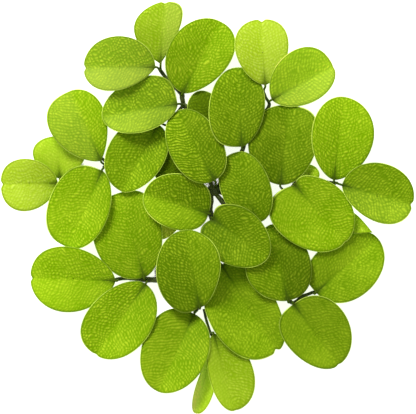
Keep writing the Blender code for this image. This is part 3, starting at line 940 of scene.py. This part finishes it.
        # The bumps die away beside the midrib, at the base and at the margin.
        valley = ((1 - smooth(np.abs(across) / self.bare_midrib))
                  * (1 - smooth(along / self.midrib_reach)))
        calm = (smooth(margin / self.bare_margin) * (1 - valley)
                * smooth(np.hypot(forward, across) / self.bare_base))
        bumps = (self.quilt(forward, across) - self.bump_level) * by_half(leaf.relief, across)
        crest = (self.bump_level + bumps) * calm

        # The blade lies as its solid does, with an arch and waves of its own.
        body = smooth(margin / self.body_margin)
        lens = self.rim_half + (self.body_half - self.rim_half) * body
        full = np.abs(side)
        height = (LEAF_HEIGHT + self.lift + self.rise(along, across) + self.pitch * forward
                  + self.roll * across + self.arch * 4 * full * (1 - full) * (1 - x * x)
                  + self.wave * full ** 3 * (1 - x * x)
                  * np.sin(self.wave_turn * x + self.number
                           + np.where(y > 0, 0.0, self.wave_shift)))
        midrib = np.exp(-(across / self.midrib_width) ** 2)
        midrib = midrib * smooth(1 - along / self.midrib_reach) * body
        if under:
            height = (height - lens - self.midrib_keel * midrib
                      + self.under_bumps * self.bump_height * crest)
        else:
            height = (height + lens + self.bump_height * (crest - self.bump_sink)
                      - self.midrib_groove * midrib)
        place_points(item.data, self.lay(forward, across, height))

        woody = np.exp(-forward / self.woody_reach - (across / self.woody_width) ** 2)
        # Painted shade: darker at the base, lighter towards the tip.
        shade = self.base_shade + self.tip_glow * smooth(along)
        note(item, {"crest": crest, "margin": margin, "rib": np.abs(across), "along": along,
                    "woody": woody, "under": np.full_like(along, float(under)),
                    "tone_and_painted_light": by_half(leaf.tone_and_painted_light, across) * shade,
                    "painted_sheen": by_half(leaf.painted_sheen, across)})
        return item

    def stalk(self) -> Object:
        """Shape the stalk, which runs on under the blade as its midrib.

        Returns:
            The stalk, in metres and in place.
        """
        route = stem_route(STEMS[self.leaf.stem])
        neck = self.base - self.heading * NECK_SETBACK + UP * (LEAF_HEIGHT + self.lift)
        gaps = np.linalg.norm(route - np.array((*neck[:2], STEM_HEIGHT)), axis=1)
        anchor = route[gaps.argmin()]
        knee = (anchor + neck) / 2 + UP * self.stalk_arch
        shares = np.array(MIDRIB_STATIONS)
        forward, across = self.plan(shares, np.zeros_like(shares))
        depth = (LEAF_HEIGHT + self.lift + self.rise(shares, across) + self.pitch * forward
                 - self.stalk_sink)
        keel = self.lay(forward, across, depth)
        path = curve((anchor, knee, neck, *keel), self.stalk_steps)
        share = np.linspace(0.0, 1.0, len(path))
        taper = 1 - self.stalk_taper * smooth((share - self.taper_from) / (1 - self.taper_from))
        swell = 1 + self.stalk_swell * (1 - smooth(share / self.swell_reach))
        tubes = Tubes(self.stalk_sides)
        tubes.strand(path, self.stalk_radius * taper * swell, self.left)
        item = tubes.make()
        facts = {name: np.full(len(item.data.vertices), value)
                 for name, value in STALK_FACTS.items()}
        facts["woody"] = np.repeat(1.0 - self.stalk_green * share, tubes.sides)
        note(item, facts)
        return item

    def build(self, material: Material) -> Object:
        """Build the leaf.

        Args:
            material: Material of the leaf.

        Returns:
            The finished piece.
        """
        top = self.sheet(self.cell, under=False)
        low = self.sheet(self.under_cell, under=True)
        select(top, low)
        bpy.ops.object.join()
        bpy.ops.object.mode_set(mode="EDIT")
        bpy.ops.mesh.select_mode(type="EDGE")
        bpy.ops.mesh.select_all(action="DESELECT")
        bpy.ops.mesh.select_non_manifold()
        bpy.ops.mesh.bridge_edge_loops()
        bpy.ops.mesh.select_all(action="SELECT")
        bpy.ops.mesh.normals_make_consistent(inside=False)
        bpy.ops.object.mode_set(mode="OBJECT")
        select(top, self.stalk())
        bpy.ops.object.join()
        return finish_piece(top, f"fern_leaf_{self.number:02d}", self.node, material)


@dataclass
class StemPiece:
    """A stem piece: a slightly knotted tube that runs into its neighbours. Sizes are in mm."""

    name: str
    stem: Stem
    steps: int = 12
    sides: int = 14
    overrun: float = 0.95
    end_share: float = 0.8
    knot: float = 0.07
    knot_turn: float = 2.1
    ripple: float = 0.04
    ripple_turn: float = 5.3
    narrowing: tuple = (0.8, 0.7)

    def build(self, material: Material) -> Object:
        """Build the stem piece.

        Args:
            material: Material of the stem.

        Returns:
            The finished piece.
        """
        route = stem_route(self.stem, self.steps)
        start = route[0] - unit(route[1] - route[0]) * self.overrun
        end = route[-1] + unit(route[-1] - route[-2]) * self.overrun * self.end_share
        path = np.vstack((start, route, end))
        share = np.linspace(0.0, 1.0, len(path))
        radii = self.stem.start_radius + (self.stem.end_radius - self.stem.start_radius) * share
        steps = np.linalg.norm(np.diff(path, axis=0), axis=1)
        distance = np.concatenate(((0.0,), np.cumsum(steps)))
        radii = radii * (1 + self.knot * np.sin(distance * self.knot_turn + len(self.name))
                         + self.ripple * np.sin(distance * self.ripple_turn))
        radii[[0, -1]] *= self.narrowing
        tubes = Tubes(self.sides)
        tubes.strand(path, radii, UP)
        return finish_piece(tubes.make(), f"fern_stem_{self.name}", f"stem_{self.name}", material)


@dataclass
class Crown:
    """The lumpy middle of the stem, from which its branches leave. Sizes are in mm."""

    centre: tuple = (1.2, 3.3, STEM_HEIGHT)
    radii: tuple = (1.45, 1.2, 0.82)
    subdivisions: int = 5
    lump: float = 0.25
    lump_grain: float = 0.6
    lump_level: float = 0.6

    def build(self, material: Material) -> Object:
        """Build the crown.

        Args:
            material: Material of the stem.

        Returns:
            The finished piece.
        """
        deselect()
        bpy.ops.mesh.primitive_ico_sphere_add(subdivisions=self.subdivisions, radius=1.0,
                                              calc_uvs=False)
        item = bpy.context.object
        place_points(item.data, read_points(item.data) * self.radii + self.centre)
        texture = bpy.data.textures.new("lumps", "CLOUDS")
        texture.noise_scale = self.lump_grain * MM
        swell = item.modifiers.new("lumps", "DISPLACE")
        swell.texture = texture
        swell.texture_coords = "LOCAL"
        swell.strength = self.lump * MM
        swell.mid_level = self.lump_level
        select(item)
        bpy.ops.object.modifier_apply(modifier=swell.name)
        return finish_piece(item, "fern_crown", "stem_crown", material)


@dataclass
class Tuft:
    """Root-like leaves: branching filaments with fine side hairs, spread on the surface.

    A filament runs from its root by hip and knee to its foot. Sizes are in mm, spreads are shares
    of the way out to the foot, and a pair gives the least and the most.
    """

    number: int
    place: tuple
    turn: float
    seed: int = 400

    # The filaments.
    strands: int = 22
    strand_sides: int = 5
    strand_steps: int = 6
    length: float = 1.2
    breadth: float = 0.75
    reach: float = 2.75
    reach_shares: tuple = (0.55, 1.0)
    straying: tuple = (-0.3, 0.3)
    root_height: float = 2.9
    root_spread: float = 0.1
    hip_forward: float = 0.3
    hip_spread: float = 0.2
    hip_heights: tuple = (1.5, 1.9)
    knee_forward: float = 0.8
    knee_spread: float = 0.62
    knee_heights: tuple = (0.35, 0.9)
    foot_forward: float = 1.1
    foot_height: float = 0.07
    kink: float = 0.04
    radius: float = 0.085
    taper: float = 0.05

    # The side hairs.
    hairs: int = 26
    hair_sides: int = 3
    hair_spots: tuple = (0.15, 1.0)
    hair_leans: tuple = (0.1, 0.9)
    hair_lengths: tuple = (0.35, 0.7)
    hair_rises: tuple = (-0.3, 0.1)
    hair_floor: float = 0.03
    hair_arch: float = 0.04
    hair_radii: tuple = (0.022, 0.018, 0.008)

    def build(self, material: Material) -> Object:
        """Build the tuft.

        Args:
            material: Material of the roots.

        Returns:
            The finished piece.
        """
        random = np.random.default_rng(self.seed + self.number)
        turn = math.radians(self.turn)
        ahead = np.array((math.cos(turn), math.sin(turn), 0.0))
        left = np.cross(UP, ahead)
        place = np.array((*self.place, 0.0))
        mains, fine = Tubes(self.strand_sides), Tubes(self.hair_sides)
        for i in range(self.strands):
            angle = math.tau * (i + random.uniform(*self.straying)) / self.strands
            spread = ahead * math.cos(angle) * self.length + left * math.sin(angle) * self.breadth
            out = spread * (random.uniform(*self.reach_shares) * self.reach)
            foot = place + ahead * self.foot_forward + out + UP * self.foot_height
            knee = (place + ahead * self.knee_forward + out * self.knee_spread
                    + UP * random.uniform(*self.knee_heights))
            hip = (place + ahead * self.hip_forward + out * self.hip_spread
                   + UP * random.uniform(*self.hip_heights))
            root = place + spread * self.root_spread + UP * self.root_height
            path = curve((root, hip, knee, foot), self.strand_steps)
            path[1:-1, :2] += random.normal(0.0, self.kink, (len(path) - 2, 2))
            share = np.linspace(0.0, 1.0, len(path))
            flank = unit(np.cross(UP, spread))
            mains.strand(path, self.radius - self.taper * share, flank)
            for spot in random.uniform(*self.hair_spots, self.hairs):
                start = path[int(spot * (len(path) - 1))]
                lean = (flank * random.choice((-1.0, 1.0))
                        + unit(spread) * random.uniform(*self.hair_leans))
                tip = (start + unit(lean) * random.uniform(*self.hair_lengths)
                       + UP * random.uniform(*self.hair_rises))
                tip[2] = max(tip[2], self.hair_floor)
                middle = (start + tip) / 2 + UP * self.hair_arch
                fine.strand(np.array((start, middle, tip)), np.array(self.hair_radii), UP)
        item = mains.make()
        select(item, fine.make())
        bpy.ops.object.join()
        name = f"root_tuft_{self.number:02d}"
        return finish_piece(item, f"fern_{name}", name, material)


# Studio


@dataclass(frozen=True)
class Lamp:
    """A soft square light that points at the plant."""

    name: str
    place: tuple
    size: float
    power: float

    def build(self) -> None:
        """Hang the light."""
        light = bpy.data.lights.new(self.name, "AREA")
        light.shape = "SQUARE"
        light.size = self.size
        light.energy = self.power
        item = bpy.data.objects.new(self.name, light)
        item.location = self.place
        item.rotation_euler = Vector(self.place).to_track_quat("Z", "Y").to_euler()
        bpy.context.scene.collection.objects.link(item)


@dataclass
class Studio:
    """Pale floor, lights and a camera that looks straight down. The sensor is in mm."""

    distance: float = 0.7
    frame_width: float = 0.0829
    focus_height: float = 0.0055
    centre: tuple = (0.000125, 0.000163)
    sensor_width: float = 36.0
    farthest: float = 20.0
    sky: float = 0.5
    floor_size: float = 4.0
    floor_drop: float = 0.0001
    floor_colour: tuple = (0.9, 0.9, 0.9)
    floor_roughness: float = 0.9
    floor_glow: float = 0.8
    lamps: tuple = (
        Lamp("key", (-0.2, 0.38, 0.32), 0.2, 3.2),
        Lamp("top", (0.1, -0.05, 0.9), 0.5, 0.3),
    )

    def build(self) -> None:
        """Set the studio up."""
        scene = bpy.context.scene
        scene.view_settings.view_transform = "Standard"
        world = bpy.data.worlds.new("studio")
        world.use_nodes = True
        background = world.node_tree.nodes["Background"]
        background.inputs["Color"].default_value = (*WHITE, 1.0)
        background.inputs["Strength"].default_value = self.sky
        scene.world = world
        for lamp in self.lamps:
            lamp.build()
        self.build_floor()
        camera = bpy.data.cameras.new("camera")
        camera.sensor_width = self.sensor_width
        camera.lens = self.sensor_width * self.distance / self.frame_width
        camera.clip_end = self.farthest
        item = bpy.data.objects.new("camera", camera)
        item.location = (*self.centre, self.distance + self.focus_height)
        scene.collection.objects.link(item)
        scene.camera = item

    def build_floor(self) -> None:
        """Lay a pale floor just under the plant."""
        deselect()
        bpy.ops.mesh.primitive_plane_add(size=self.floor_size,
                                         location=(0.0, 0.0, -self.floor_drop))
        floor = bpy.context.object
        floor.name = "floor"
        paint = Paint("floor")
        paint.put("Base Color", self.floor_colour)
        paint.put("Roughness", self.floor_roughness)
        paint.put("Specular IOR Level", 0.0)
        paint.put("Emission Color", WHITE)
        paint.put("Emission Strength", self.floor_glow)
        floor.data.materials.append(paint.material)


def report(piece: Object) -> None:
    """Log a finished piece with its faces and its material."""
    faces = len(piece.data.polygons)
    log.info("%s: %d faces of %s", piece.name, faces, piece.data.materials[0].name)


def main() -> None:
    """Build the studio and the plant, and report each piece."""
    logging.basicConfig(level=logging.INFO, format="%(message)s")
    Studio().build()
    leaf_materials = {finish.tone: finish.make() for finish in LEAF_FINISHES}
    for number, leaf in enumerate(LEAVES, start=1):
        report(Blade(number, leaf).build(leaf_materials[leaf.tone]))
    stem_material = STEM_FINISH.make()
    for name, stem in STEMS.items():
        if name != "crown":
            report(StemPiece(name, stem).build(stem_material))
    report(Crown().build(stem_material))
    root_material = ROOT_FINISH.make()
    for number, (place, turn) in enumerate(TUFTS, start=1):
        report(Tuft(number, place, turn).build(root_material))


if __name__ == "__main__":
    main()
